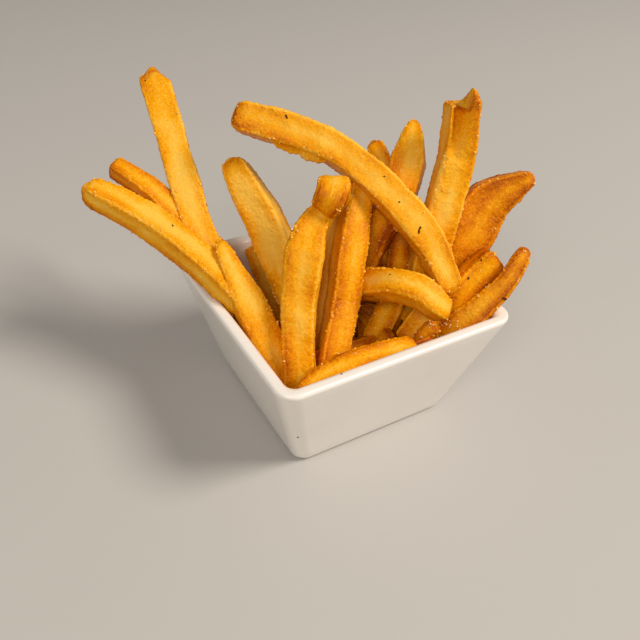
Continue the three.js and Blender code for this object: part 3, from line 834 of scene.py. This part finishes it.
def bake(piece, tree_group, values):
    """Runs a piece through a node tree and keeps the result as its plain mesh."""
    modifier = piece.modifiers.new(tree_group.name, "NODES")
    modifier.node_group = tree_group
    given_items = [item for item in tree_group.interface.items_tree if item.in_out == "INPUT"]
    sockets = {item.name: item.identifier for item in given_items}
    for socket_name, value in values.items():
        modifier[sockets[socket_name]] = value
    depsgraph = bpy.context.evaluated_depsgraph_get()
    mesh = bpy.data.meshes.new_from_object(
        piece.evaluated_get(depsgraph), preserve_all_data_layers=True, depsgraph=depsgraph)
    piece.modifiers.remove(modifier)
    mesh.name = piece.name
    piece.data = mesh


def point_places(mesh):
    points = np.empty(len(mesh.vertices) * 3, np.float32)
    mesh.vertices.foreach_get("co", points)
    return points.reshape(-1, 3)


def add_fry(name, fry, seed, detail):
    piece = add_object(name, fry_mesh(name, fry, seed, detail))
    bake(piece, crust, {"Material": batter})
    piece.data.vertices.foreach_set("co", keep_inside(point_places(piece.data)).ravel())
    piece.data.update()
    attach(piece, "root")
    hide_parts("fries")
    return piece


fry_pieces = {}
for seed, (fry_name, fry_shape) in enumerate(FRIES.items()):
    detail = COARSE if fry_name in HIDDEN else FINE
    fry_pieces[fry_name] = add_fry("fry_" + fry_name, {**FRY, **fry_shape}, seed, detail)

# ---------------------------------------------------------------------------------------------
# Core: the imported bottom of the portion, short broken fries and loose batter pressed together,
# in the dark under the fries that show.

CORE_GAP = 0.5 * MM
CORE_TOP = 21 * MM
CORE_CROWN = 25 * MM
CORE_SIDE_STEPS = 12
CORE_CROWN_STEPS = 9
CORE_CROWN_SHARES = (0.9, 0.1)
CORE_BROWN = 0.9
BED_COUNT = 9
BED_LENGTH = 44
BED_WIDE = 10.5
BED_HEIGHT = 25
BED_RADIUS = 15
BED_LEAN = 0.5
BED_UNEVEN = 5
# The bed fries are browner than the ones that show: painted shade for the dark gaps deep in the heap.
BED_TONE = 1.8
BED_SEED = 11
BED_FIRST_FRY_SEED = 40
GOLDEN_ANGLE = 137.5

core_rings = []
for level in np.linspace(FLOOR_LEVEL + CORE_GAP, CORE_TOP, CORE_SIDE_STEPS):
    lift = max(0.0, FLOOR_LEVEL + FLOOR_ROUND - level)
    rounding = FLOOR_ROUND - math.sqrt(max(0.0, FLOOR_ROUND ** 2 - lift ** 2))
    core_rings.append(inner_ring(WALL + CORE_GAP + rounding, float(level)))
for share in np.linspace(*CORE_CROWN_SHARES, CORE_CROWN_STEPS):
    height = CORE_TOP + (CORE_CROWN - CORE_TOP) * (1 - share)
    half = (outer_half_width(CORE_TOP) - WALL - CORE_GAP) * share
    core_rings.append(rounded_square(half, min(INNER_CORNER, half * 0.5), height))
packed_core = add_object("packed_core", closed_loft("packed_core", core_rings))
packed_core.data.materials.append(batter)
core_grain = point_places(packed_core.data)
set_attribute(packed_core.data, "grain", "FLOAT_VECTOR", core_grain)
set_attribute(packed_core.data, "brown_and_shade", "FLOAT", np.full(len(core_grain), CORE_BROWN))
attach(packed_core, "root")
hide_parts("fries")

rng = np.random.default_rng(BED_SEED)
for index in range(BED_COUNT):
    angle = math.radians(index * GOLDEN_ANGLE)
    lean = BED_LEAN * (rng.random() - 0.5)
    height = BED_HEIGHT + BED_UNEVEN * (rng.random() - 0.5)
    middle = Vector((BED_RADIUS * math.cos(angle), BED_RADIUS * math.sin(angle), height))
    direction = Vector((-math.sin(angle), math.cos(angle), lean)).normalized()
    ends = [tuple(middle + direction * BED_LENGTH / 2), tuple(middle - direction * BED_LENGTH / 2)]
    fry = {**FRY, "through": ends, "wide": BED_WIDE, "deep": BED_WIDE, "tone": BED_TONE}
    add_fry(f"bed_fry_{index}", fry, BED_FIRST_FRY_SEED + index, COARSE)

# ---------------------------------------------------------------------------------------------
# Crumbs and salt: grains of batter that dried on the edges and coarse salt thrown over the hot
# fries. Each one sits in the crust by about half of its size.

CRUMB_COLOURS = ((1.0, 0.58, 0.12, 1), (0.82, 0.32, 0.012, 1))
SALT_COLOURS = ((0.94, 0.64, 0.26, 1), (0.96, 0.82, 0.55, 1))
FULL_TURN = 6.28
BALL_RADIUS = 0.5
BALL_BUMPS = 1.9
SPOT_RANGE = (0.35, 0.65)
SALTED_ENDS = ("arched", "front_right", "salty_end")

# Layers of grains: how many a square metre, the power of the attribute that gathers them, and
# the smallest and the largest size in mm.
CRUMB_LAYERS = ((230000.0, 9.0, 0.35, 1.0), (5000.0, 0.0, 0.3, 0.6), (9000.0, 9.0, 1.0, 1.8))
SALT_LAYER = (2600.0, 0.0, 0.3, 0.65)
SALTED_END_LAYER = (420000.0, 6.0, 0.3, 0.7)


def grain_material(name, colours, spots_per_metre, rough):
    material, tree, shader = new_material(name)
    place = add_node(tree, "ShaderNodeTexCoord", {}).outputs["Object"]
    spots = remap(tree, noise(tree, place, spots_per_metre), *SPOT_RANGE)
    plug(tree, shader, {
        "Base Color": blend(tree, spots, *colours), "Roughness": rough, "Specular IOR Level": 0.2,
        "Subsurface Weight": 0.2, "Subsurface Radius": (1.0 * MM, 0.6 * MM, 0.3 * MM),
        "Subsurface Scale": 1.0,
    })
    return material


crumb_paint = grain_material("toasted_crumb", CRUMB_COLOURS, spots_per_metre=700, rough=0.45)
salt_paint = grain_material("salt", SALT_COLOURS, spots_per_metre=900, rough=0.3)

sprinkle, given = start_group("sprinkle", {
    "Per Square Metre": 100000.0, "Seed": 0, "Gathers By": "edge", "Power": 8.0,
    "Smallest": 0.5 * MM, "Largest": 1.2 * MM,
})
gathered = calc(sprinkle, "MAXIMUM", read_attribute(sprinkle, given["Gathers By"], "FLOAT"), 0.0)
share = calc(sprinkle, "POWER", gathered, given["Power"])
scatter = add_node(sprinkle, "GeometryNodeDistributePointsOnFaces", {
    "Mesh": given["Geometry"], "Density": calc(sprinkle, "MULTIPLY", share, given["Per Square Metre"]),
    "Seed": given["Seed"],
})
ball = add_node(sprinkle, "GeometryNodeMeshIcoSphere", {"Radius": BALL_RADIUS, "Subdivisions": 2})
knobbly = add_node(sprinkle, "ShaderNodeTexNoise", {"Scale": BALL_BUMPS, "Detail": 1.0})
inputs = {0: knobbly.outputs["Color"], 1: (0.5, 0.5, 0.5)}
centred = add_node(sprinkle, "ShaderNodeVectorMath", inputs, operation="SUBTRACT")
bumped = add_node(sprinkle, "GeometryNodeSetPosition", {
    "Geometry": ball.outputs["Mesh"], "Offset": centred.outputs["Vector"],
})
spin = add_node(sprinkle, "FunctionNodeRandomValue", {
    "Max": (FULL_TURN, FULL_TURN, FULL_TURN), "Seed": given["Seed"],
}, data_type="FLOAT_VECTOR")
sized = add_node(sprinkle, "FunctionNodeRandomValue", {
    2: given["Smallest"], 3: given["Largest"], "Seed": given["Seed"],
}, data_type="FLOAT")
strewn = add_node(sprinkle, "GeometryNodeInstanceOnPoints", {
    "Points": scatter.outputs["Points"], "Instance": bumped.outputs["Geometry"],
    "Rotation": spin.outputs["Value"], "Scale": sized.outputs[1],
})
end_group(sprinkle, strewn.outputs["Instances"], given["Material"])


def strew(heap, carriers, layer, material, gathers_by="edge"):
    """Adds a layer of grains on each carrying piece to a heap of loose bits."""
    per_square_metre, power, smallest, largest = layer
    for number, carrier in enumerate(carriers):
        bits = add_object("bits", carrier.data.copy())
        bake(bits, sprinkle, {
            "Seed": number, "Per Square Metre": per_square_metre, "Gathers By": gathers_by, "Power": power,
            "Smallest": smallest * MM, "Largest": largest * MM, "Material": material,
        })
        heap.from_mesh(bits.data)
        bpy.data.objects.remove(bits)


def loose_piece(name, heap, material):
    mesh = bpy.data.meshes.new(name)
    heap.to_mesh(mesh)
    heap.free()
    mesh.materials.clear()
    mesh.materials.append(material)
    piece = add_object(name, mesh)
    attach(piece, "root")
    return piece


shown_fries = [piece for fry_name, piece in fry_pieces.items() if fry_name not in HIDDEN]
heap = bmesh.new()
for layer in CRUMB_LAYERS:
    strew(heap, shown_fries, layer, crumb_paint)
crumbs = loose_piece("crumbs", heap, crumb_paint)

heap = bmesh.new()
strew(heap, shown_fries, SALT_LAYER, salt_paint)
strew(heap, [fry_pieces[name] for name in SALTED_ENDS], SALTED_END_LAYER, salt_paint, "brown_and_shade")
loose_piece("salt_grains", heap, salt_paint)

# ---------------------------------------------------------------------------------------------
# Burnt specks: flakes of batter that stayed in the oil from the last batch and stuck to the crust,
# dark and thin. One crumb fell on the rim and one stuck to the bowl's side.

SPECK_THICKNESS = 0.22 * MM
SPECK_LUMPS = (0.75, 1.2)
SPECK_SPOTS_PER_METRE = 1200
SPECK_COLOURS = ((0.03, 0.008, 0.003, 1), (0.13, 0.035, 0.006, 1))
STRAY_LENGTH = 0.9 * MM
STRAY_WIDTH = 0.6 * MM
STRAY_FIRST_SEED = 50
CLEAR_OF_FRY = 20

# The fry, the distance from its tip in mm, the angle round it in degrees, and length and width.
SPECKS = (
    ("arched", 19.4, -33, 1.7, 0.8), ("arched", 85.4, 22, 1.9, 0.9), ("arched", 84.6, 11, 1.6, 0.8),
    ("arched", 71.7, 7, 1.0, 0.7), ("arched", 61.1, -23, 0.8, 0.6), ("low_left", 34.2, -40, 0.9, 0.6),
    ("low_left", 37.2, -11, 1.2, 0.7), ("stub_right", 5.5, 44, 1.0, 0.7),
    ("stub_right", 14.4, 35, 1.3, 1.0), ("front_right", 19.9, -48, 1.8, 1.0),
    ("tall_left", 3.0, 38, 1.2, 0.6), ("curled", 22.2, -21, 0.8, 0.5),
)
STRAY_CRUMBS = ((-26, -46.3, 51.9), (-39.2, -41.3, 21.0))

speck_paint, tree, shader = new_material("burnt_batter")
place = add_node(tree, "ShaderNodeTexCoord", {}).outputs["Object"]
plug(tree, shader, {
    "Base Color": blend(tree, noise(tree, place, SPECK_SPOTS_PER_METRE), *SPECK_COLOURS),
    "Roughness": 0.6, "Specular IOR Level": 0.1,
})


def speck(heap, centre, normal, long, wide, seed):
    """A thin lumpy flake on a surface."""
    rng = np.random.default_rng(seed)
    lean = normal.to_track_quat("Z", "Y").to_matrix() @ Matrix.Rotation(rng.uniform(0, math.pi), 3, "Z")
    stretch = Matrix.Diagonal((long / 2, wide / 2, SPECK_THICKNESS))
    made = bmesh.ops.create_icosphere(heap, subdivisions=2, radius=1.0)
    for vertex in made["verts"]:
        lump = rng.uniform(*SPECK_LUMPS)
        vertex.co = centre + lean @ (stretch @ (vertex.co * lump))


def surface_of(piece):
    return BVHTree.FromObject(piece, bpy.context.evaluated_depsgraph_get())


heap = bmesh.new()
for seed, (fry_name, distance, angle, long, wide) in enumerate(SPECKS):
    frames = fry_frames({**FRY, **FRIES[fry_name]}, FINE["step"])
    last = len(frames) - 1
    section = frames[min(int(distance * MM / frames[0]["length"] * last), last)]
    turn = math.radians(angle)
    out = Vector(section["facing"]) * math.cos(turn) + Vector(section["across"]) * math.sin(turn)
    start = Vector(section["centre"]) + out * CLEAR_OF_FRY * MM
    hit, normal, _, _ = surface_of(fry_pieces[fry_name]).ray_cast(start, -out)
    speck(heap, hit, normal, long * MM, wide * MM, seed)
for seed, spot in enumerate(STRAY_CRUMBS):
    hit, normal, _, _ = surface_of(porcelain_bowl).find_nearest(Vector(spot) * MM)
    speck(heap, hit, normal, STRAY_LENGTH, STRAY_WIDTH, STRAY_FIRST_SEED + seed)
loose_piece("burnt_specks", heap, speck_paint)
